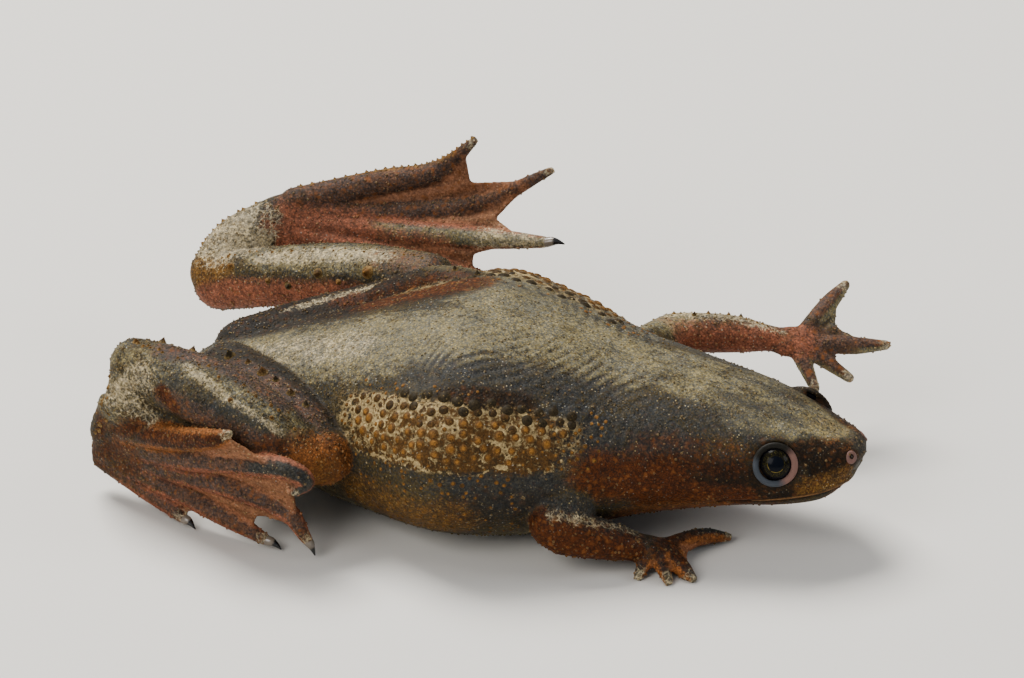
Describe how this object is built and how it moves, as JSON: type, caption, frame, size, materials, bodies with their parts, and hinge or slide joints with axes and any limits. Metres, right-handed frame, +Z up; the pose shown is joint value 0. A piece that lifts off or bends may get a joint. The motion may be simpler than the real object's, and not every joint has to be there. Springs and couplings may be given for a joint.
{
  "type": "zaire dwarf clawed frog",
  "caption": "Small flattened frog lying on its belly, hind legs folded with webbed clawed feet, far arm and far foot raised, warty flanks and a low pointed snout.",
  "frame": {"origin": "on the floor under the middle of the whole animal's box", "axes": "+X towards the snout, +Y to the animal's left, +Z up"},
  "size_m": [0.0396, 0.0252, 0.0128],
  "materials": {
    "body_skin": "moist rough skin, grey-brown with gold flecks and dark tubercles",
    "limb_skin": "moist skin, mauve-brown to pink with orange spots and pale toe tips",
    "eye": "wet glossy black with a thin broken gold ring",
    "claw": "smooth black horn"
  },
  "bodies": {
    "root": {"torso": "body_skin", "head": "body_skin", "jaw": "body_skin", "eye_left": "eye", "eye_right": "eye", "upper_arm_left": "limb_skin", "upper_arm_right": "limb_skin", "forearm_left": "limb_skin", "forearm_right": "limb_skin", "hand_left": "limb_skin", "hand_right": "limb_skin", "thigh_left": "body_skin", "thigh_right": "body_skin", "shank_left": "limb_skin", "shank_right": "limb_skin", "tarsus_left": "limb_skin", "tarsus_right": "limb_skin", "foot_left": "limb_skin", "foot_right": "limb_skin", "claw_left_1": "claw", "claw_left_2": "claw", "claw_left_3": "claw", "claw_right_1": "claw", "claw_right_2": "claw", "claw_right_3": "claw"}
  },
  "joints": []
}
